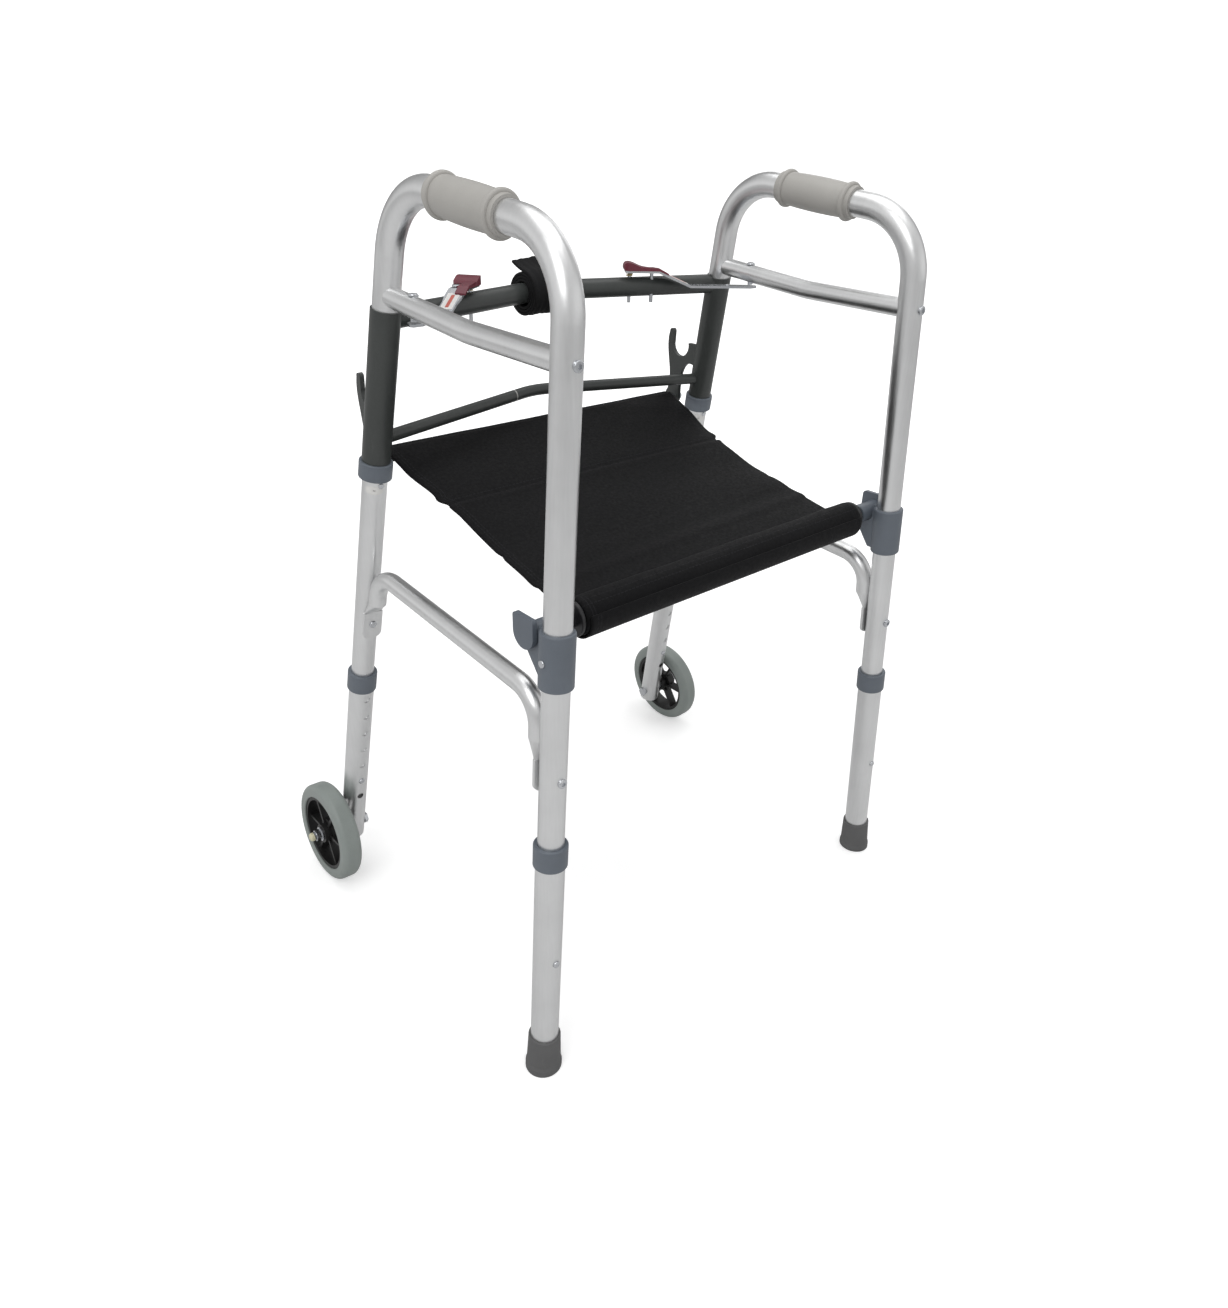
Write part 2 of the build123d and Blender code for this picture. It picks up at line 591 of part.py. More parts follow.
# ---- seat ----
def seat_sling():
    """Fabric sling: a hem round the front rod and a slightly slack sheet that meets the rear roll."""
    front = (ROD_Y - HEM_R * 0.5, ROD_Z + HEM_R * 0.86)
    rear = (SEAT_BAR_Y + ROLL_R - 2, SEAT_BAR_Z)
    middle = ((front[0] + rear[0]) / 2, (front[1] + rear[1]) / 2 - SLING_SAG)
    upper = (front, middle, rear)
    lower = [(y, z - SLING_T) for y, z in upper]
    with BuildSketch(Plane.YZ) as profile:
        with BuildLine():
            ThreePointArc(*upper)
            Line(upper[2], lower[2])
            ThreePointArc(*reversed(lower))
            Line(lower[0], upper[0])
        make_face()
        with Locations((ROD_Y, ROD_Z)):
            Circle(HEM_R)
        with Locations((ROD_Y, ROD_Z)):
            Circle(HEM_BORE_R, mode=Mode.SUBTRACT)
        with Locations((SEAT_BAR_Y, SEAT_BAR_Z)):
            Circle(ROLL_R + SOFT_GAP, mode=Mode.SUBTRACT)
    body = extrude(profile.sketch, SLING_FRONT_HALF, both=True)
    edge = [
        (SLING_FRONT_HALF, ROD_Y - HEM_R),
        (SLING_MID_HALF + 4, ROD_Y - 80),
        (SLING_MID_HALF, ROD_Y - 150),
        (SLING_REAR_HALF, SEAT_BAR_Y),
    ]
    mirrored = [(-x, y) for x, y in reversed(edge)]
    with BuildSketch() as outline:
        with BuildLine():
            Spline(*edge)
            Line(edge[3], mirrored[0])
            Spline(*mirrored)
            Polyline(mirrored[3], (-SLING_FRONT_HALF, ROD_Y + 30), (SLING_FRONT_HALF, ROD_Y + 30), edge[0])
        make_face()
    return body & Pos(0, 0, 400) * extrude(outline.sketch, 300)


def seat_roll():
    """The sling's rear hem, a thick fabric roll on the rear bar."""
    half = ROLL_HALF_LENGTH
    body = rod((-half, SEAT_BAR_Y, SEAT_BAR_Z), (half, SEAT_BAR_Y, SEAT_BAR_Z), ROLL_R, ROLL_BORE_R)
    return body


def seat_rear_bar():
    half = CAP_FLANGE_X - 2
    return rod((-half, SEAT_BAR_Y, SEAT_BAR_Z), (half, SEAT_BAR_Y, SEAT_BAR_Z), SEAT_BAR_R - 1.5, 6.5)


def seat_bar_rings():
    """Black end rings that hold the fabric roll on the bar."""
    plane = Plane(origin=(ROLL_HALF_LENGTH + 0.4, SEAT_BAR_Y, SEAT_BAR_Z), x_dir=(0, 1, 0), z_dir=(1, 0, 0))
    body = ring(plane, RING_R, SEAT_BAR_R - 1.5, RING_T, 1.2)
    return Compound(children=[body, to_left(body)])


def seat_bar_caps():
    """Moulded end caps: neck that lies in the cradle and a D-shaped flange outside it."""
    plane = Plane(origin=(0, SEAT_BAR_Y, SEAT_BAR_Z), x_dir=(0, 1, 0), z_dir=(1, 0, 0))
    length = CAP_FLANGE_X - CAP_INNER_X
    neck = Pos(0, 0, CAP_INNER_X) * Cylinder(
        CAP_NECK_R, length + 1, align=(Align.CENTER, Align.CENTER, Align.MIN)
    )
    left = CAP_FLANGE_SHIFT - CAP_FLANGE_W / 2
    right = CAP_FLANGE_SHIFT + CAP_FLANGE_W / 2
    with BuildSketch() as flange:
        with BuildLine():
            ThreePointArc((left, 0), (CAP_FLANGE_SHIFT, -CAP_FLANGE_W / 2), (right, 0))
            Polyline((right, 0), (right, CAP_FLANGE_TOP), (left, CAP_FLANGE_TOP), (left, 0))
        make_face()
        fillet(flange.vertices().group_by(Axis.Y)[-1], 3.5)
    plate = Pos(0, 0, CAP_FLANGE_X) * extrude(flange.sketch, CAP_FLANGE_T)
    pocket = Cylinder(SEAT_BAR_R - 1.5, CAP_FLANGE_X - 2, align=(Align.CENTER, Align.CENTER, Align.MIN))
    body = plane * (neck + plate - pocket)
    return Compound(children=[body, to_left(body)])


# ---- latch ----
def latch_plane():
    dx = LATCH_AIM[0] - LATCH_START[0]
    dy = LATCH_AIM[1] - LATCH_START[1]
    return Plane(origin=LATCH_START, x_dir=(dx, dy, 0), z_dir=(0, 0, 1))


def latch_reach():
    return math.hypot(LATCH_AIM[0] - LATCH_START[0], LATCH_AIM[1] - LATCH_START[1])


def latch_plate():
    """Cranked plate: over the crossbar at the pivot end, under the brace pin at the other."""
    end = latch_reach() + 8
    start, stop = LATCH_RAMP
    low = -LATCH_DROP
    with BuildSketch(Plane.XZ) as side:
        with BuildLine():
            Polyline((-11, 0), (start, 0), (stop, low), (end, low), (end, low + LATCH_T))
            Polyline((end, low + LATCH_T), (stop + 0.5, low + LATCH_T), (start + 0.5, LATCH_T))
            Polyline((start + 0.5, LATCH_T), (-11, LATCH_T), (-11, 0))
        make_face()
    body = extrude(side.sketch, 12, both=True)
    with BuildSketch() as outline:
        with BuildLine():
            Polyline((-11, -9), (40, -9), (50, -7.5), (end - 8, -7.5), (end, -2), (end, 2))
            Polyline((end, 2), (end - 8, 7.5), (50, 7.5), (40, 9), (-11, 9), (-11, -9))
        make_face()
    body = body & Pos(0, 0, -30) * extrude(outline.sketch, 60)
    middle, length, width = LATCH_SLOT
    body -= Pos(middle, 0, 0) * extrude(SlotOverall(length, width), 60, both=True)
    body -= Pos(*LATCH_SCREW, 0) * Cylinder(3.0, 20)
    body -= Pos(LATCH_PIVOT, 0, 0) * Cylinder(3.0, 20)
    return latch_plane() * body


def latch_paddle():
    """Moulded push pad over the pivot end of the plate, with a tongue along its rear edge."""
    with BuildSketch(Plane.XZ) as side:
        with BuildLine():
            Line((-12, LATCH_T), (14, LATCH_T))
            Line((14, LATCH_T), (14, LATCH_T + 3.2))
            Spline((14, LATCH_T + 3.2), (4, LATCH_T + 5), (-4, LATCH_T + 8), (-10, LATCH_T + 8.2))
            ThreePointArc((-10, LATCH_T + 8.2), (-13.5, LATCH_T + 4), (-12, LATCH_T))
        make_face()
    body = extrude(side.sketch, 14, both=True)
    with BuildSketch() as outline:
        RectangleRounded(28, 25, 10)
    body = body & extrude(outline.sketch, 30)
    start = LATCH_RAMP[0]
    slope = LATCH_DROP / (LATCH_RAMP[1] - start)
    tip = 38
    tip_z = LATCH_T - slope * (tip - start - 0.5)
    with BuildSketch(Plane.XZ) as strip:
        with BuildLine():
            Polyline((2, LATCH_T), (start + 0.5, LATCH_T), (tip, tip_z), (tip, tip_z + 1.6))
            Polyline((tip, tip_z + 1.6), (start, LATCH_T + 2.8), (2, LATCH_T + 4.6), (2, LATCH_T))
        make_face()
    tongue = Pos(0, -6.4, 0) * extrude(strip.sketch, 5.4, both=True)
    return latch_plane() * (body + tongue)


def latch_rivet():
    plane = latch_plane()
    spot = plane.origin + plane.x_dir * 108 + plane.z_dir * (LATCH_T - LATCH_DROP)
    return dome(Plane(origin=spot, z_dir=(0, 0, 1)), 2.6, 1.2)


def latch_bolt_runs():
    """Foot, top and radius of the two bolts of the right latch: the pivot bolt, then the screw."""
    plane = latch_plane()
    runs = []
    for along, across, top, radius in ((LATCH_PIVOT, 0, -0.6, 2.0), (*LATCH_SCREW, LATCH_T + 0.4, 2.2)):
        foot = plane.origin + plane.x_dir * along + plane.y_dir * across
        low = Vector(foot.X, foot.Y, CROSSBAR_END_Z - CROSSBAR_R - 6)
        runs.append((low, Vector(foot.X, foot.Y, foot.Z + top), radius))
    return runs


def latch_bolts():
    """The two bolts of each latch: through the crossbar, ends showing below it."""
    pivot, screw = [rod(*run) for run in latch_bolt_runs()]
    screw += pan_head(Plane(origin=latch_bolt_runs()[1][1], z_dir=(0, 0, 1)))
    return Compound(children=[pivot, to_left(pivot), screw, to_left(screw)])


def top_crossbar():
    body = cross_member(CROSSBAR_END_Z, CROSSBAR_MID, CROSSBAR_BEND_R, CROSSBAR_R)
    for low, high, radius in latch_bolt_runs():
        hole = rod(low, high, radius + 0.15)
        body -= hole
        body -= to_left(hole)
    return body


def pan_head(plane):
    head = Cylinder(4.2, 2.2, align=(Align.CENTER, Align.CENTER, Align.MIN))
    head = fillet(head.edges().sort_by(Axis.Z)[-1], 1.0)
    for turn in (0, 90):
        head -= Pos(0, 0, 1.7) * Rot(0, 0, turn) * Box(5.4, 1.0, 1.4)
    return plane * head


def latch_springs():
    """Small compression springs round the pivot bolts, between crossbar and plate."""
    plane = latch_plane()
    foot = plane.origin + plane.x_dir * LATCH_PIVOT
    height = 3.4
    path = Helix(pitch=1.5, height=height, radius=3.4)
    wire = Plane(origin=path @ 0, z_dir=path % 0) * Circle(0.5)
    coil = sweep(wire, path=path)
    base = CROSSBAR_END_Z + CROSSBAR_R + 1.3
    body = Pos(foot.X, foot.Y, base) * coil
    return Compound(children=[body, to_left(body)])


# ---- every node of the right side, then its mirror image ----
RIGHT_NODES = {
    "side_tube": on_right(side_tube()),
    "grip": on_right(grip()),
    "upper_brace": on_right(upper_brace()),
    "lower_brace": on_right(lower_brace()),
    "side_screws": on_right(side_screws()),
    "latch_pin": on_right(latch_pin()),
    "seat_cradle": seat_cradle(),
    "rear_extension": on_right(
        extension(rear_plane, REAR_EXTENSION_BOTTOM_H, REAR_EXTENSION_TOP_H, [BUTTON_HOLE_INDEX])
    ),
    "rear_collar": on_right(collar(rear_plane, REAR_EXTENSION_TOP_H, COLLAR_R, COLLAR_HEIGHT)),
    "rear_button": on_right(button(rear_plane)),
    "rear_tip": rubber_tip(),
    "front_extension": on_right(front_extension()),
    "front_collar": on_right(collar(front_plane, FRONT_EXTENSION_TOP_H, COLLAR_R, COLLAR_HEIGHT)),
    "front_button": on_right(button(front_plane)),
    "axle_bolt": on_right(axle_bolt()),
    "axle_nut": on_right(axle_nut()),
    "wheel_hub": on_right(wheel_hub()),
    "tyre": on_right(tyre()),
    "sleeve": sleeve(),
    "sleeve_collar": sleeve_collar(),
    "hook_plate": hook_plate(),
    "latch_plate": latch_plate(),
    "latch_paddle": latch_paddle(),
    "latch_rivet": latch_rivet(),
}
NODES = {}
for name, shape in RIGHT_NODES.items():
    NODES[name + "_right"] = shape
    NODES[name + "_left"] = to_left(shape)
NODES["top_crossbar"] = top_crossbar()
NODES["lower_brace_bar"] = lower_bar()
NODES["seat_front_rod"] = seat_front_rod()
NODES["rod_nuts"] = rod_nuts()
NODES["crossbar_wrap"] = crossbar_wrap()
NODES["seat_sling"] = seat_sling()
NODES["seat_roll"] = seat_roll()
NODES["seat_rear_bar"] = seat_rear_bar()
NODES["seat_bar_rings"] = seat_bar_rings()
NODES["seat_bar_caps"] = seat_bar_caps()
NODES["latch_bolts"] = latch_bolts()
NODES["latch_springs"] = latch_springs()

# ---- origin: on the floor, under the middle of the bounding box ----
rear_edge = NODES["rear_tip_right"].bounding_box().min.Y
front_edge = NODES["tyre_right"].bounding_box().max.Y
CENTRE = Pos(0, -(rear_edge + front_edge) / 2, 0)

os.makedirs("parts", exist_ok=True)
for name, shape in NODES.items():
    export_step(CENTRE * shape, f"parts/{name}.step")
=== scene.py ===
import json
import math

import bpy
from mathutils import Matrix, Vector


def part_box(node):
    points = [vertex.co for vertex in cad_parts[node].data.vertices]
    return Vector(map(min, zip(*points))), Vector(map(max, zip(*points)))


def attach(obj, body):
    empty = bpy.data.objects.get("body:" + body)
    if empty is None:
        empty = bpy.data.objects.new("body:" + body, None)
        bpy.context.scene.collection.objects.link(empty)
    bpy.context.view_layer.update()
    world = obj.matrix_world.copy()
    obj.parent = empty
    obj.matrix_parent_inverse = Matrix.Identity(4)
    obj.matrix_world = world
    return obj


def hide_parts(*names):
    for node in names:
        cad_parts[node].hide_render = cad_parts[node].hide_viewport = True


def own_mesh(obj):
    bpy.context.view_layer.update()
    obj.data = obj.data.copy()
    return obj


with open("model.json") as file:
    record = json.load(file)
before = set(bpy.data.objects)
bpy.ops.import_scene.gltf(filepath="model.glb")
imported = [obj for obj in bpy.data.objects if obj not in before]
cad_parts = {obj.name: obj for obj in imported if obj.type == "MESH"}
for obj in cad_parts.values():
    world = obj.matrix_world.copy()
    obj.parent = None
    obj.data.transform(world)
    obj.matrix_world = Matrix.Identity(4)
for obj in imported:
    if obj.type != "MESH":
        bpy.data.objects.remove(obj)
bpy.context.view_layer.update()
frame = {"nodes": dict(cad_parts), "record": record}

# ---- camera, as the photographer stood ----
CAMERA_AT = (-0.6613, -0.7523, 0.8530)
CAMERA_YAW = 42.13
CAMERA_PITCH = 29.01
CAMERA_ROLL = 1.48
CAMERA_LENS = 25.73

# ---- sewing of the sling, in metres ----
SEAM_RUN = 0.103  # cross seam, along the sheet from the front rod
SEAM_SPREAD = 0.0032  # from the seam to the stitches on each side of it
EDGE_ROWS = (0.007, 0.0105)  # rows of stitches, in from the side edges
EDGE_STITCH = 0.005
SEAM_STITCH = 0.0045
STITCH_SHARE = 0.68  # part of the pitch that is thread
WEAVE_PITCH = 0.0018


# ---- node helpers ----
def new_material(name):
    mat = bpy.data.materials.new(name)
    mat.use_nodes = True
    tree = mat.node_tree
    bsdf = tree.nodes["Principled BSDF"]
    return mat, tree, bsdf


def add(tree, kind, **values):
    node = tree.nodes.new(kind)
    for key, value in values.items():
        if hasattr(node, key):
            setattr(node, key, value)
        else:
            node.inputs[key].default_value = value
    return node


def coords(tree, scale=(1, 1, 1)):
    texture = add(tree, "ShaderNodeTexCoord")
    mapping = add(tree, "ShaderNodeMapping")
    mapping.inputs["Scale"].default_value = scale
    tree.links.new(texture.outputs["Object"], mapping.inputs["Vector"])
    return mapping.outputs["Vector"]


def noise(tree, vector, scale, detail=4.0, rough=0.55):
    node = add(tree, "ShaderNodeTexNoise")
    node.inputs["Scale"].default_value = scale
    node.inputs["Detail"].default_value = detail
    node.inputs["Roughness"].default_value = rough
    tree.links.new(vector, node.inputs["Vector"])
    return node.outputs["Fac"]


def spread(tree, value, low, high, clamp=True):
    """A 0 to 1 texture value mapped to a range."""
    node = add(tree, "ShaderNodeMapRange", clamp=clamp)
    node.inputs["From Min"].default_value = 0.3
    node.inputs["From Max"].default_value = 0.7
    node.inputs["To Min"].default_value = low
    node.inputs["To Max"].default_value = high
    tree.links.new(value, node.inputs["Value"])
    return node.outputs["Result"]


def math_node(tree, operation, a, b=None):
    node = add(tree, "ShaderNodeMath", operation=operation)
    for i, value in enumerate((a, b)):
        if value is None:
            continue
        if isinstance(value, (int, float)):
            node.inputs[i].default_value = value
        else:
            tree.links.new(value, node.inputs[i])
    return node.outputs[0]


def weighted_sum(tree, *terms):
    """Sum of (value, weight) pairs."""
    total = None
    for value, weight in terms:
        part = math_node(tree, "MULTIPLY", value, weight)
        total = part if total is None else math_node(tree, "ADD", total, part)
    return total


def near(tree, value, place, reach):
    """1 where value is within reach of place."""
    away = math_node(tree, "ABSOLUTE", math_node(tree, "SUBTRACT", value, place))
    return math_node(tree, "LESS_THAN", away, reach)


def dashes(tree, run, pitch):
    """1 on the thread of a row of stitches, 0 in the gaps."""
    turns = math_node(tree, "FRACT", math_node(tree, "MULTIPLY", run, 1 / pitch))
    return math_node(tree, "LESS_THAN", turns, STITCH_SHARE)


def blend_colours(tree, factor, first, second):
    node = add(tree, "ShaderNodeMix", data_type="RGBA")
    if isinstance(factor, (int, float)):
        node.inputs[0].default_value = factor
    else:
        tree.links.new(factor, node.inputs[0])
    for socket, value in ((node.inputs[6], first), (node.inputs[7], second)):
        if isinstance(value, tuple):
            socket.default_value = (*value, 1)
        else:
            tree.links.new(value, socket)
    return node.outputs[2]


def bump(tree, bsdf, height, strength, distance):
    node = add(tree, "ShaderNodeBump")
    node.inputs["Strength"].default_value = strength
    node.inputs["Distance"].default_value = distance
    tree.links.new(height, node.inputs["Height"])
    tree.links.new(node.outputs["Normal"], bsdf.inputs["Normal"])


def surface(name, dark, light, rough, metal, grain, grain_depth, stretch=(1, 1, 1), **fixed):
    """Procedural finish: slow colour drift, fine grain, roughness variation and a shallow bump."""
    mat, tree, bsdf = new_material(name)
    slow = noise(tree, coords(tree), 22.0, 3.0)
    fine = noise(tree, coords(tree, stretch), grain, 6.0, 0.6)
    both = weighted_sum(tree, (slow, 0.6), (fine, 0.4))
    colour = blend_colours(tree, spread(tree, both, 0.0, 1.0), dark, light)
    tree.links.new(colour, bsdf.inputs["Base Color"])
    tree.links.new(spread(tree, both, rough[0], rough[1]), bsdf.inputs["Roughness"])
    bsdf.inputs["Metallic"].default_value = metal
    for key, value in fixed.items():
        bsdf.inputs[key].default_value = value
    bump(tree, bsdf, fine, 0.5, grain_depth)
    return mat


def scuffed(mat, amount, colour, scale=60.0):
    """Sparse scuffs and dust over a finish."""
    tree = mat.node_tree
    bsdf = tree.nodes["Principled BSDF"]
    mask = noise(tree, coords(tree, (1, 1, 0.3)), scale, 8.0, 0.7)
    sharp = add(tree, "ShaderNodeMapRange")
    sharp.inputs["From Min"].default_value = 0.62
    sharp.inputs["From Max"].default_value = 0.75
    sharp.inputs["To Max"].default_value = amount
    tree.links.new(mask, sharp.inputs["Value"])
    old = bsdf.inputs["Base Color"].links[0].from_socket
    tree.links.new(blend_colours(tree, sharp.outputs["Result"], old, colour), bsdf.inputs["Base Color"])
    return mat


def woven(name, dark, light):
    """Plain-weave cloth on its own UV map in metres, with rows of stitches along the edges and the seam."""
    mat, tree, bsdf = new_material(name)
    uv = add(tree, "ShaderNodeUVMap", uv_map="cloth")
    cloth = add(tree, "ShaderNodeSeparateXYZ")
    tree.links.new(uv.outputs["UV"], cloth.inputs["Vector"])
    waves = []
    for axis in (0, 1):
        turns = math_node(tree, "MULTIPLY", cloth.outputs[axis], 2 * math.pi / WEAVE_PITCH)
        waves.append(math_node(tree, "SINE", turns))
    weave = math_node(tree, "MULTIPLY", waves[0], waves[1])
    weave = math_node(tree, "ADD", math_node(tree, "MULTIPLY", weave, 0.5), 0.5)
    slub = noise(tree, coords(tree), 300.0, 5.0)
    drift = noise(tree, coords(tree), 12.0, 4.0)
    tone = weighted_sum(tree, (weave, 0.35), (slub, 0.35), (drift, 0.3))
    colour = blend_colours(tree, tone, dark, light)
    height = math_node(tree, "ADD", weave, math_node(tree, "MULTIPLY", slub, 0.8))
    edge_uv = add(tree, "ShaderNodeUVMap", uv_map="edge")
    edge = add(tree, "ShaderNodeSeparateXYZ")
    tree.links.new(edge_uv.outputs["UV"], edge.inputs["Vector"])
    rows = [near(tree, edge.outputs[1], inset, 0.00055) for inset in EDGE_ROWS]
    thread = dashes(tree, edge.outputs[0], EDGE_STITCH)
    stitch = math_node(tree, "MULTIPLY", math_node(tree, "ADD", *rows), thread)
    for run in (SEAM_RUN - SEAM_SPREAD, SEAM_RUN + SEAM_SPREAD):
        row = near(tree, cloth.outputs[1], run, 0.00045)
        thread = dashes(tree, cloth.outputs[0], SEAM_STITCH)
        stitch = math_node(tree, "ADD", stitch, math_node(tree, "MULTIPLY", row, thread))
    colour = blend_colours(tree, stitch, colour, tuple(1.9 * c for c in light))
    height = math_node(tree, "ADD", height, math_node(tree, "MULTIPLY", stitch, 2.0))
    tree.links.new(colour, bsdf.inputs["Base Color"])
    tree.links.new(spread(tree, slub, 0.62, 0.82), bsdf.inputs["Roughness"])
    bsdf.inputs["Sheen Weight"].default_value = 0.03
    bsdf.inputs["Sheen Roughness"].default_value = 0.5
    bsdf.inputs["Specular IOR Level"].default_value = 0.15
    bump(tree, bsdf, height, 0.5, 0.0003)
    return mat


# ---- finishes: slot, name, dark and light tone, roughness range, metal, grain size, grain depth ----
FINISHES = {
    "painted_frame": (
        "dark_frame_paint", (0.040, 0.044, 0.042), (0.056, 0.061, 0.059),
        (0.30, 0.40), 0.0, 700.0, 0.00003,
    ),
    "grip_plastic": (
        "grip_vinyl", (0.40, 0.388, 0.365), (0.47, 0.457, 0.432),
        (0.42, 0.55), 0.0, 1200.0, 0.00005,
    ),
    "collar_plastic": (
        "collar_plastic_grey", (0.115, 0.133, 0.158), (0.15, 0.171, 0.20),
        (0.40, 0.50), 0.0, 1500.0, 0.00003,
    ),
    "cap_plastic": (
        "cap_plastic_grey", (0.105, 0.123, 0.148), (0.14, 0.16, 0.19),
        (0.40, 0.50), 0.0, 1500.0, 0.00003,
    ),
    "rubber_tip": (
        "tip_rubber", (0.095, 0.095, 0.096), (0.135, 0.135, 0.136),
        (0.62, 0.80), 0.0, 800.0, 0.0001,
    ),
    "tyre_rubber": (
        "tyre_rubber_green_grey", (0.24, 0.27, 0.255), (0.30, 0.33, 0.315),
        (0.36, 0.50), 0.0, 900.0, 0.00004,
    ),
    "hub_plastic": (
        "hub_black", (0.006, 0.006, 0.006), (0.014, 0.014, 0.014),
        (0.34, 0.48), 0.0, 900.0, 0.00004,
    ),
    "zinc_steel": (
        "zinc_plate", (0.50, 0.52, 0.55), (0.70, 0.71, 0.73),
        (0.18, 0.32), 1.0, 500.0, 0.00002,
    ),
    "brass_bits": (
        "brass", (0.62, 0.48, 0.22), (0.78, 0.64, 0.34),
        (0.20, 0.34), 1.0, 600.0, 0.00002,
    ),
    "paddle_plastic": (
        "paddle_burgundy", (0.13, 0.020, 0.034), (0.18, 0.032, 0.050),
        (0.24, 0.36), 0.0, 700.0, 0.00003,
    ),
    "ring_plastic": (
        "ring_black", (0.010, 0.010, 0.011), (0.02, 0.02, 0.022),
        (0.26, 0.38), 0.0, 900.0, 0.00002,
    ),
    "dark_bar": (
        "bar_black_paint", (0.012, 0.012, 0.013), (0.025, 0.025, 0.027),
        (0.30, 0.42), 0.0, 700.0, 0.00002,
    ),
    "wrap_foam": (
        "wrap_neoprene", (0.004, 0.004, 0.004), (0.011, 0.011, 0.012),
        (0.72, 0.90), 0.0, 1100.0, 0.0002,
    ),
}
MATERIALS = {
    "aluminium_tube": surface(
        "satin_aluminium", (0.75, 0.754, 0.756), (0.84, 0.844, 0.846), (0.29, 0.38), 1.0,
        420.0, 0.00001, stretch=(1, 1, 0.03), Anisotropic=0.2,
    ),
    "sling_fabric": woven("sling_weave", (0.0018, 0.0018, 0.0022), (0.0060, 0.0060, 0.0070)),
}
MATERIALS.update((slot, surface(*finish)) for slot, finish in FINISHES.items())
MATERIALS["wrap_foam"].node_tree.nodes["Principled BSDF"].inputs["Specular IOR Level"].default_value = 0.2
scuffed(MATERIALS["aluminium_tube"], 0.10, (0.88, 0.88, 0.88))
scuffed(MATERIALS["rubber_tip"], 0.35, (0.28, 0.27, 0.25), 90.0)
scuffed(MATERIALS["tyre_rubber"], 0.20, (0.36, 0.38, 0.36), 90.0)
scuffed(MATERIALS["painted_frame"], 0.12, (0.16, 0.16, 0.16))
LABEL = surface(
    "blank_label", (0.75, 0.74, 0.72), (0.85, 0.84, 0.82), (0.30, 0.42), 0.0, 600.0, 0.00002
)
LABEL_BAND = surface(
    "label_band", (0.50, 0.10, 0.07), (0.60, 0.14, 0.10), (0.30, 0.42), 0.0, 600.0, 0.00002
)

for part in frame["record"]["subparts"]:
    node = frame["nodes"][part["node"]]
    node.data.materials.clear()
    node.data.materials.append(MATERIALS[part["material_slot"]])


def band_on(base, name, low, high, colour, both_sides):
    """A copy of a finish with another colour between two positions along X, or on both sides of the middle."""
    mat = base.copy()
    mat.name = name
    tree = mat.node_tree
    bsdf = tree.nodes["Principled BSDF"]
    split = add(tree, "ShaderNodeSeparateXYZ")
    tree.links.new(coords(tree), split.inputs["Vector"])
    value = split.outputs[0]
    if both_sides:
        value = math_node(tree, "ABSOLUTE", value)
    ragged = math_node(tree, "SUBTRACT", noise(tree, coords(tree), 400.0), 0.5)
    value = math_node(tree, "ADD", value, math_node(tree, "MULTIPLY", ragged, 0.0008))
    above = math_node(tree, "GREATER_THAN", value, low)
    inside = math_node(tree, "MULTIPLY", above, math_node(tree, "LESS_THAN", value, high))
    old = bsdf.inputs["Base Color"].links[0].from_socket
    tree.links.new(blend_colours(tree, inside, old, colour), bsdf.inputs["Base Color"])
    if bsdf.inputs["Metallic"].default_value > 0.5:
        metal = math_node(tree, "SUBTRACT", 1.0, inside)
        tree.links.new(metal, bsdf.inputs["Metallic"])
    return mat


# the scraped ring on the lower bar, and the pale cap on each axle end
scraped = band_on(
    MATERIALS["painted_frame"], "scraped_paint", -0.0338, -0.0322, (0.42, 0.42, 0.40), both_sides=False
)
frame["nodes"]["lower_brace_bar"].data.materials[0] = scraped
axle_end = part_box("axle_nut_right")[1].x
AXLE_CAP = 0.0052
capped = band_on(
    MATERIALS["zinc_steel"], "nut_with_pale_cap", axle_end - AXLE_CAP, 1.0, (0.66, 0.63, 0.44), both_sides=True
)
for side in ("right", "left"):
    frame["nodes"]["axle_nut_" + side].data.materials[0] = capped


# ---- mesh helpers ----
def mesh_piece(name, verts, faces, material, body):
    mesh = bpy.data.meshes.new(name)
    mesh.from_pydata([tuple(v) for v in verts], [], faces)
    mesh.validate()
    mesh.update()
    obj = bpy.data.objects.new(name, mesh)
    bpy.context.scene.collection.objects.link(obj)
    mesh.materials.append(material)
    for polygon in mesh.polygons:
        polygon.use_smooth = True
    if body:
        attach(obj, body)
    return obj


def grid_faces(columns, rows):
    faces = []
    for i in range(columns - 1):
        for j in range(rows - 1):
            a = i * rows + j
            b = a + rows
            faces.append((a, b, b + 1, a + 1))
    return faces


def uv_layer(obj, name, values):
    """A UV map with one value per vertex."""
    layer = obj.data.uv_layers.new(name=name)
    for loop in obj.data.loops:
        layer.data[loop.index].uv = values[loop.vertex_index]


def solidify(obj, thickness):
    """Thickness on both sides of a sheet, applied to the mesh."""
    modifier = obj.modifiers.new("thickness", "SOLIDIFY")
    modifier.thickness = thickness
    modifier.offset = 0.0
    bpy.context.view_layer.objects.active = obj
    obj.select_set(True)
    bpy.ops.object.modifier_apply(modifier=modifier.name)
    obj.select_set(False)


def smooth_step(t):
    t = min(1.0, max(0.0, t))
    return t * t * (3 - 2 * t)


def swell(value, centre, reach):
    """A smooth hump of height 1 at centre."""
    return math.exp(-(((value - centre) / reach) ** 2))


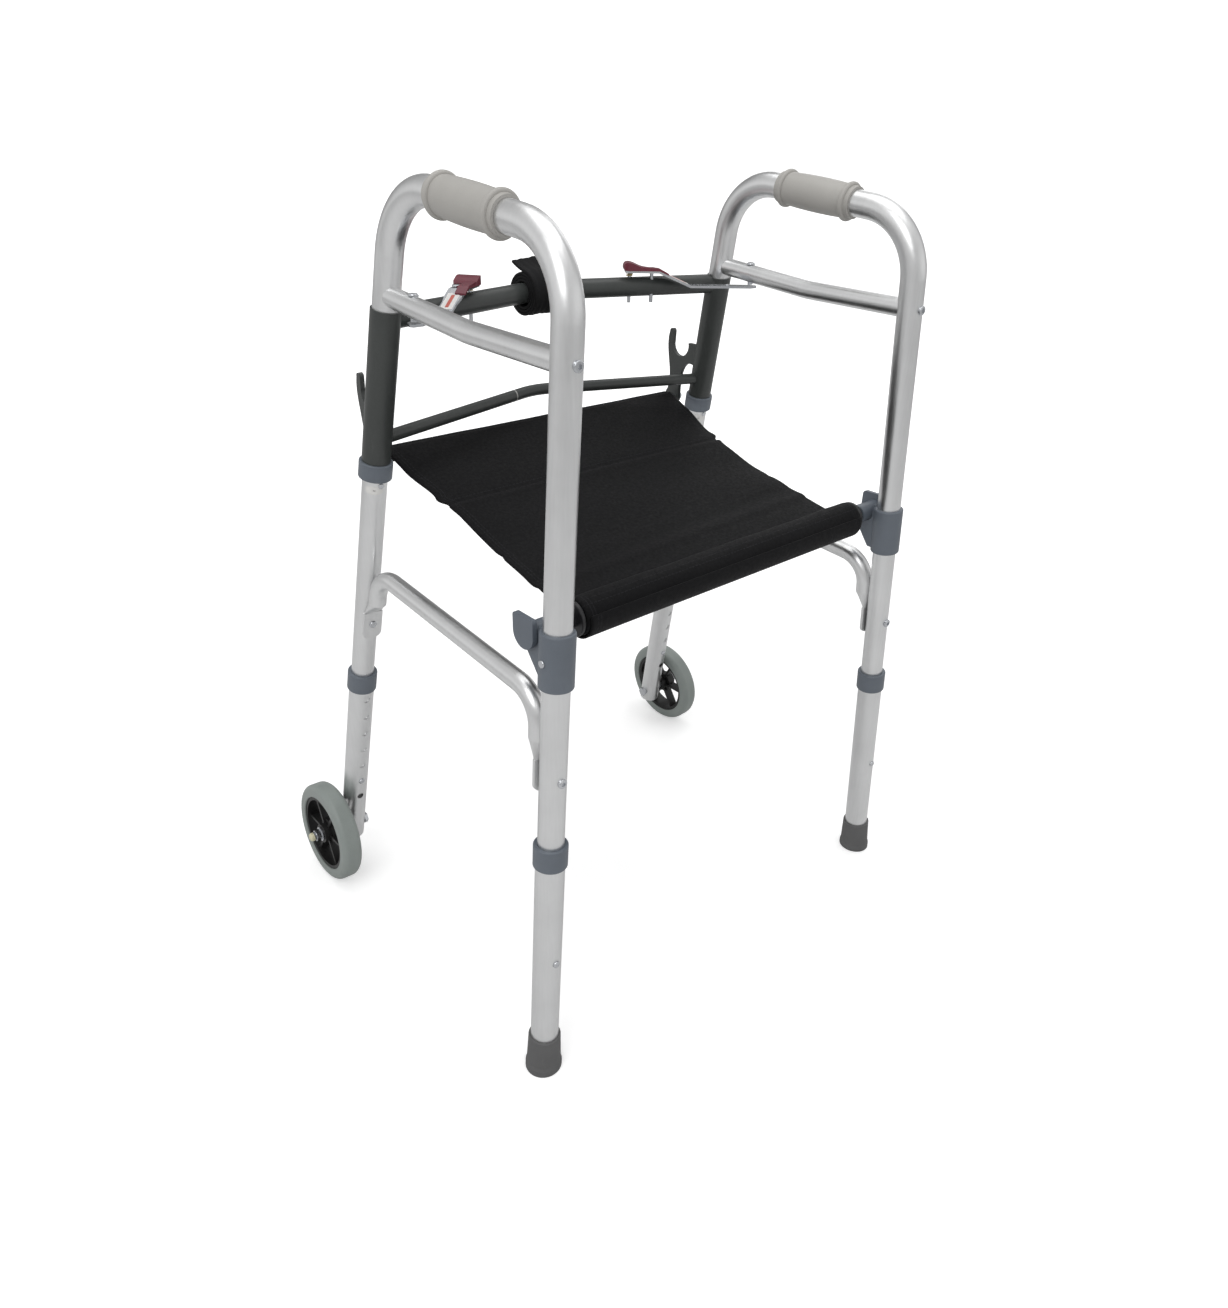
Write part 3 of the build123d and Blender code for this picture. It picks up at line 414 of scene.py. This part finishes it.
# ---- seat sling ----
rod_low, rod_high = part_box("seat_front_rod")
roll_low, roll_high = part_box("seat_roll")
sling_low, sling_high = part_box("seat_sling")
ROD = Vector((0, (rod_low.y + rod_high.y) / 2, (rod_low.z + rod_high.z) / 2))
ROLL = Vector((0, (roll_low.y + roll_high.y) / 2, (roll_low.z + roll_high.z) / 2))
ROLL_R = (roll_high.z - roll_low.z) / 2
HEM_R = sling_high.y - ROD.y
FRONT_HALF = sling_high.x - 0.001
REAR_HALF = roll_high.x - 0.003
SLING_T = 0.0016
SEAM_AT = 0.345
ACROSS = 141
ALONG = 120
HALF_WIDTHS = (
    (0.0, FRONT_HALF),
    (0.12, 0.2045),
    (0.30, 0.1990),
    (0.42, 0.1935),
    (0.55, 0.1935),
    (0.75, 0.1955),
    (1.0, REAR_HALF),
)


def sling_half_width(t):
    """Half width at t from the front rod (0) to the rear roll (1), with the puckers the seam pulls in."""
    for (t0, w0), (t1, w1) in zip(HALF_WIDTHS, HALF_WIDTHS[1:]):
        if t <= t1:
            width = w0 + (w1 - w0) * smooth_step((t - t0) / (t1 - t0))
            break
    notch = 0.0040 * swell(t, SEAM_AT, 0.012) - 0.0022 * swell(t, SEAM_AT - 0.03, 0.02)
    notch += 0.0016 * swell(t, 0.66, 0.014) + 0.0012 * swell(t, 0.86, 0.012)
    return width - notch


def sling_relief(s, t):
    """Fine creases: across the front, along the seam, and where the cloth bends down to the roll."""
    seam = -0.0011 * swell(t, SEAM_AT, 0.010) + 0.0006 * swell(t, SEAM_AT + 0.022, 0.012)
    soft = 0.0008 * math.sin(9 * t + 1.6 * s) + 0.0005 * math.sin(23 * t - 2.1 * s + 0.7)
    soft += 0.0005 * math.sin(13 * s + 4 * t) * swell(t, 0.1, 0.12)
    near_roll = 0.0018 * swell(t, 0.86 - 0.02 * s, 0.022) - 0.0012 * swell(t, 0.80 - 0.03 * s, 0.03)
    edge = abs(s) ** 10
    curl = edge * (0.0011 * math.sin(17 * t + (0.6 if s > 0 else 2.1)) - 0.0014)
    return (seam + soft + near_roll + curl) * math.sin(math.pi * min(1.0, max(0.0, t * 0.98 + 0.01))) ** 0.5


def sling_section():
    """Middle line in the YZ plane: off the top of the hem, down to the roll, and round under it."""
    leave = math.radians(28)
    front = (ROD.y - (HEM_R + 0.0004) * math.sin(leave), ROD.z + (HEM_R + 0.0004) * math.cos(leave))
    radius = ROLL_R + 0.0011 + SLING_T / 2
    meet = math.radians(62)
    rear = (ROLL.y + radius * math.sin(meet), ROLL.z - radius * math.cos(meet) + 0.0105)
    points = []
    body = 100
    for k in range(body + 1):
        t = k / body
        y = front[0] + (rear[0] - front[0]) * t
        z = front[1] + (rear[1] - front[1]) * t - 0.009 * 4 * t * (1 - t)
        points.append((y, z, t))
    reach = math.hypot(rear[0] - ROLL.y, rear[1] - ROLL.z)
    start = math.atan2(rear[1] - ROLL.z, rear[0] - ROLL.y)
    stop = math.radians(-200)
    wraps = ALONG - body - 1
    for k in range(1, wraps + 1):
        share = k / wraps
        angle = start + (stop - start) * share
        r = radius + (reach - radius) * (1 - smooth_step(share * 3))
        points.append((ROLL.y + r * math.cos(angle), ROLL.z + r * math.sin(angle), 1.0))
    return points


def build_sling():
    section = sling_section()
    verts, cloth, edge = [], [], []
    runs = [0.0]
    for (y0, z0, _), (y1, z1, _) in zip(section, section[1:]):
        runs.append(runs[-1] + math.hypot(y1 - y0, z1 - z0))
    for i in range(ACROSS):
        s = -1 + 2 * i / (ACROSS - 1)
        for (y, z, t), run in zip(section, runs):
            half = sling_half_width(t)
            x = s * half
            verts.append((x, y, z + sling_relief(s, t)))
            cloth.append((x, run))
            edge.append((run, (1 - abs(s)) * half))
    faces = grid_faces(ACROSS, len(section))
    obj = mesh_piece("sling_sheet", verts, faces, MATERIALS["sling_fabric"], None)
    uv_layer(obj, "cloth", cloth)
    uv_layer(obj, "edge", edge)
    solidify(obj, SLING_T)
    return obj, runs[-1]


def tube_of_cloth(name, centre, radius, half, body, wobble, seam):
    """Cloth wound round a rod: slightly uneven, with a raised seam line and turned-in ends."""
    around, steps = 96, 90
    verts, cloth, edge = [], [], []
    ends = [(-half, 0.70), (-half - 0.0001, 0.86), (-half + 0.0012, 0.97)]
    stations = ends + [(-half + 0.003 + (2 * half - 0.006) * k / steps, 1.0) for k in range(steps + 1)]
    stations += [(-x, scale) for x, scale in reversed(ends)]
    for i in range(around + 1):
        angle = 2 * math.pi * i / around
        away = abs((angle - seam + math.pi) % (2 * math.pi) - math.pi)
        for x, scale in stations:
            ripple = wobble * (math.sin(x * 40 + 2 * angle) + 0.6 * math.sin(x * 95 - angle))
            r = (radius + ripple + 0.0008 * math.exp(-((away / 0.06) ** 2))) * scale
            verts.append((x, centre.y + r * math.sin(angle), centre.z + r * math.cos(angle)))
            cloth.append((x, angle * radius))
            edge.append((x + half, half - abs(x) + 0.0001))
    obj = mesh_piece(name, verts, grid_faces(around + 1, len(stations)), MATERIALS["sling_fabric"], None)
    uv_layer(obj, "cloth", cloth)
    uv_layer(obj, "edge", edge)
    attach(obj, body)
    return obj


sling, sling_length = build_sling()
front_hem = tube_of_cloth("sling_front_hem", ROD, HEM_R, FRONT_HALF - 0.001, "front_frame", 0.00012, 2.2)
roll = tube_of_cloth(
    "sling_rear_roll", ROLL, ROLL_R - 0.0004, roll_high.x - 0.0004, "seat_bar", 0.00025, 5.0
)


# ---- crossbar wrap: foam strap wound round the bow, with its end lifting off ----
bar_low, bar_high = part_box("top_crossbar")
BAR_R = 0.0105
BAR_MID_Y = bar_high.y - BAR_R
BAR_MID_Z = (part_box("crossbar_wrap")[0].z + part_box("crossbar_wrap")[1].z) / 2
BEND_R = 0.110
WRAP_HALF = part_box("crossbar_wrap")[1].x
WRAP_T = 0.0029


def wrap_centre(x):
    """Middle of the bowed crossbar at x."""
    return Vector((x, BAR_MID_Y - x * x / (2 * BEND_R), BAR_MID_Z))


def build_wrap():
    turns, per_turn = 3.35, 60
    inner, outer = BAR_R + 0.0018, 0.0232
    profile = []
    count = int(turns * per_turn)
    end_angle = math.radians(-8)
    for k in range(count + 1):
        share = k / count
        angle = end_angle - 2 * math.pi * turns * (1 - share)
        profile.append((angle, inner + (outer - inner) * share, 0.0, 0.0))
    for k in range(1, 15):
        out = 0.0015 * k
        profile.append((end_angle, outer, out, 0.00012 * k + 0.004 * (k / 14) ** 2))
    rows = 41
    verts, cloth = [], []
    run = 0.0
    for k, (angle, radius, out, lift) in enumerate(profile):
        for j in range(rows):
            s = -1 + 2 * j / (rows - 1)
            shrink = 0.9985 - 0.006 * abs(math.sin(angle * 0.5)) * 0.5
            x = s * WRAP_HALF * shrink
            centre = wrap_centre(x)
            wave = 0.0003 * math.sin(9 * s + angle * 2.0) + 0.0002 * math.sin(21 * s - angle)
            if out:
                wave += 0.0010 * out / 0.021 * math.sin(3.0 * s + 0.6)
            r = radius + wave
            y = centre.y + r * math.sin(angle) + out * math.cos(angle)
            z = centre.z + r * math.cos(angle) - out * math.sin(angle) + lift
            verts.append((x, y, z))
            cloth.append((x, run))
        if k + 1 < len(profile):
            run += 0.0015 if out else 2 * math.pi * radius / per_turn
    obj = mesh_piece("crossbar_foam", verts, grid_faces(len(profile), rows), MATERIALS["wrap_foam"], None)
    uv_layer(obj, "cloth", cloth)
    solidify(obj, WRAP_T)
    bevel = obj.modifiers.new("edge", "BEVEL")
    bevel.width = 0.0006
    bevel.segments = 2
    bevel.limit_method = "ANGLE"
    bevel.angle_limit = math.radians(50)
    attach(obj, "front_frame")
    return obj


wrap = build_wrap()


# ---- blank label on each latch plate ----
def build_label(side):
    """Pale sticker with a plain band, on the sloping part of the plate."""
    node = frame["nodes"]["latch_plate_" + side]
    ramp = max(
        (p for p in node.data.polygons if 0.80 < p.normal.z < 0.98 and p.normal.z > 0),
        key=lambda p: p.area,
    )
    normal = ramp.normal.normalized()
    on_ramp = [p for p in node.data.polygons if p.normal.dot(normal) > 0.9999]
    points = [node.data.vertices[i].co for p in on_ramp for i in p.vertices]
    down = Vector((normal.x, normal.y, 0)).normalized()
    aim = (down - normal * down.dot(normal)).normalized()
    across = normal.cross(aim)
    start = min(p.dot(aim) for p in points)
    stop = max(p.dot(aim) for p in points)
    side_low = min(p.dot(across) for p in points)
    side_high = max(p.dot(across) for p in points)
    height = sum(p.dot(normal) for p in points) / len(points)
    pieces = []
    for name, first, last, half, material, rise in (
        ("label", start + 0.009, stop - 0.003, 0.0062, LABEL, 0.00016),
        ("label_band", start + 0.012, stop - 0.006, 0.0018, LABEL_BAND, 0.00026),
    ):
        mid, middle = (first + last) / 2, (side_low + side_high) / 2
        rim = []
        corner = 0.0010
        for cx, cy, base in ((last, half, 0), (first, half, 90), (first, -half, 180), (last, -half, 270)):
            for step in range(5):
                angle = math.radians(base + 22.5 * step)
                px = cx - math.copysign(corner, cx - mid) + corner * math.cos(angle)
                py = middle + cy - math.copysign(corner, cy) + corner * math.sin(angle)
                rim.append(aim * px + across * py)
        verts = [v + normal * (height + lift) for lift in (0.00004, rise) for v in rim]
        count = len(rim)
        faces = [tuple(range(count, 2 * count))]
        faces += [(i, (i + 1) % count, count + (i + 1) % count, count + i) for i in range(count)]
        pieces.append(mesh_piece(f"{name}_{side}", verts, faces, material, side + "_latch"))
        for polygon in pieces[-1].data.polygons:
            polygon.use_smooth = False
    return pieces


def build_sticker(side):
    """Blank round sticker on the front leg tube, just under the sleeve collar."""
    joint = next(j for j in frame["record"]["behaviour"]["joints"] if j["name"] == side + "_side_fold")
    axis = Vector(joint["axis"]).normalized()
    if axis.z < 0:
        axis = -axis
    collar_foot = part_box("sleeve_collar_" + side)[0].z
    middle = Vector(joint["pos_m"])
    middle += axis * ((collar_foot - 0.0062 - middle.z) / axis.z)
    facing = Vector((-0.5, -0.86, 0))
    facing = (facing - axis * facing.dot(axis)).normalized()
    beside = axis.cross(facing)
    rings, spokes = 8, 48
    verts, faces, cloth = [], [], []
    for ring in range(rings + 1):
        for spoke in range(spokes):
            angle = 2 * math.pi * spoke / spokes
            c, d = math.cos(angle), math.sin(angle)
            swell = (abs(c) ** 2.6 + abs(d) ** 2.6) ** (-1 / 2.6) * ring / rings
            u, v = c * swell, d * swell
            turn_by = 0.74 * u
            radius = 0.0127 + 0.00014 - (0.00010 if ring == rings else 0.0)
            radial = facing * math.cos(turn_by) + beside * math.sin(turn_by)
            verts.append(middle + radial * radius + axis * (0.0046 * v))
            cloth.append((u * 0.0094, v * 0.0046))
    for ring in range(rings):
        for spoke in range(spokes):
            a, b = ring * spokes + spoke, ring * spokes + (spoke + 1) % spokes
            if ring:
                faces.append((a, b, b + spokes, a + spokes))
            else:
                faces.append((a + spokes, b + spokes, 0))
    obj = mesh_piece("sticker_" + side, verts, faces, LABEL, side + "_side")
    uv_layer(obj, "cloth", cloth)
    return obj


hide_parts("seat_sling")
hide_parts("seat_roll")
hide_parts("crossbar_wrap")

stow = next(j for j in frame["record"]["behaviour"]["joints"] if j["name"] == "seat_bar_stow")
pivot = Vector(stow["pos_m"])
pivot.x = 0.0
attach(sling, "front_frame")
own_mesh(sling)

# ---- floor, light and camera ----
bpy.ops.mesh.primitive_grid_add(x_subdivisions=4, y_subdivisions=4, size=40.0, location=(0, 0, -0.0005))
floor = bpy.context.object
floor.name = "studio_floor"
paper = surface("floor_paper", (0.90, 0.90, 0.90), (0.94, 0.94, 0.94), (0.8, 0.9), 0.0, 200.0, 0.00002)
paper.node_tree.nodes["Principled BSDF"].inputs["Emission Color"].default_value = (1, 1, 1, 1)
glow = paper.node_tree
seen_floor = add(glow, "ShaderNodeLightPath").outputs["Is Camera Ray"]
reach = add(glow, "ShaderNodeVectorMath", operation="LENGTH")
glow.links.new(coords(glow), reach.inputs[0])
far = add(glow, "ShaderNodeMapRange")
far.inputs["From Min"].default_value = 0.8
far.inputs["From Max"].default_value = 3.5
far.inputs["To Min"].default_value = 0.40
far.inputs["To Max"].default_value = 0.85
glow.links.new(reach.outputs["Value"], far.inputs["Value"])
glow.links.new(
    math_node(glow, "MULTIPLY", seen_floor, far.outputs["Result"]),
    glow.nodes["Principled BSDF"].inputs["Emission Strength"],
)
old_floor = glow.nodes["Principled BSDF"].inputs["Base Color"].links[0].from_socket
floor_tone = blend_colours(glow, seen_floor, (0.70, 0.70, 0.70), old_floor)
glow.links.new(floor_tone, glow.nodes["Principled BSDF"].inputs["Base Color"])
floor.data.materials.append(paper)

world = bpy.data.worlds.new("studio")
bpy.context.scene.world = world
world.use_nodes = True
sky = world.node_tree
background = sky.nodes["Background"]
place = add(sky, "ShaderNodeTexCoord")
parts = add(sky, "ShaderNodeSeparateXYZ")
sky.links.new(place.outputs["Generated"], parts.inputs["Vector"])


def ramp_node(tree, value, stops):
    """Grey ramp through (position, tone) stops."""
    ramp = add(tree, "ShaderNodeValToRGB")
    elements = ramp.color_ramp.elements
    while len(elements) < len(stops):
        elements.new(0.5)
    for element, (position, tone) in zip(elements, stops):
        element.position = position
        element.color = (tone, tone, tone, 1)
    tree.links.new(value, ramp.inputs["Fac"])
    return ramp.outputs["Color"]


away = math_node(
    sky,
    "ADD",
    math_node(sky, "MULTIPLY", parts.outputs[0], math.sin(math.radians(CAMERA_YAW))),
    math_node(sky, "MULTIPLY", parts.outputs[1], math.cos(math.radians(CAMERA_YAW))),
)
half_height = math_node(sky, "ADD", math_node(sky, "MULTIPLY", parts.outputs[2], 0.5), 0.5)
half_away = math_node(sky, "ADD", math_node(sky, "MULTIPLY", away, 0.5), 0.5)
by_height = ramp_node(sky, half_height, ((0.0, 0.8), (0.45, 0.95), (0.62, 1.0), (0.8, 0.75), (1.0, 1.0)))
by_away = ramp_node(sky, half_away, ((0.0, 0.62), (0.25, 1.0), (0.62, 1.0), (0.82, 0.45), (1.0, 0.30)))
seen = add(sky, "ShaderNodeLightPath")
tone = add(sky, "ShaderNodeMix", data_type="RGBA", blend_type="MULTIPLY")
tone.inputs[0].default_value = 1.0
sky.links.new(by_height, tone.inputs[6])
sky.links.new(by_away, tone.inputs[7])
shown = blend_colours(sky, seen.outputs["Is Camera Ray"], tone.outputs[2], (1.4, 1.4, 1.4))
sky.links.new(shown, background.inputs["Color"])
background.inputs["Strength"].default_value = 0.80


def area_light(name, at, aim, size, power, tint=(1, 1, 1)):
    data = bpy.data.lights.new(name, "AREA")
    data.shape = "RECTANGLE"
    data.size, data.size_y = size
    data.energy = power
    data.color = tint
    obj = bpy.data.objects.new(name, data)
    bpy.context.scene.collection.objects.link(obj)
    obj.location = at
    direction = Vector(aim) - Vector(at)
    obj.rotation_euler = direction.to_track_quat("-Z", "Y").to_euler()
    return obj


area_light("key", (-2.2, -1.2, 2.6), (0, 0, 0.4), (1.8, 1.8), 24)
area_light("top", (0.3, 0.2, 3.2), (0, 0, 0.3), (2.6, 2.6), 22)
area_light("rim", (2.4, 1.0, 1.6), (0, 0, 0.4), (1.4, 2.0), 9)

camera_data = bpy.data.cameras.new("camera")
camera = bpy.data.objects.new("camera", camera_data)
bpy.context.scene.collection.objects.link(camera)
yaw, pitch, roll_angle = (math.radians(v) for v in (CAMERA_YAW, CAMERA_PITCH, CAMERA_ROLL))
forward = Vector((math.sin(yaw) * math.cos(pitch), math.cos(yaw) * math.cos(pitch), -math.sin(pitch)))
level_right = forward.cross(Vector((0, 0, 1))).normalized()
level_up = level_right.cross(forward)
right = math.cos(roll_angle) * level_right + math.sin(roll_angle) * level_up
up = -math.sin(roll_angle) * level_right + math.cos(roll_angle) * level_up
turn = Matrix((right, up, -forward)).transposed().to_4x4()
camera.matrix_world = Matrix.Translation(Vector(CAMERA_AT)) @ turn
camera_data.sensor_width = 36.0
camera_data.sensor_fit = "AUTO"
camera_data.lens = CAMERA_LENS
camera_data.clip_end = 50.0
bpy.context.scene.camera = camera
bpy.context.scene.view_settings.view_transform = "Standard"
bpy.context.scene.view_settings.look = "None"

for side in ("right", "left"):
    build_label(side)
    build_sticker(side)
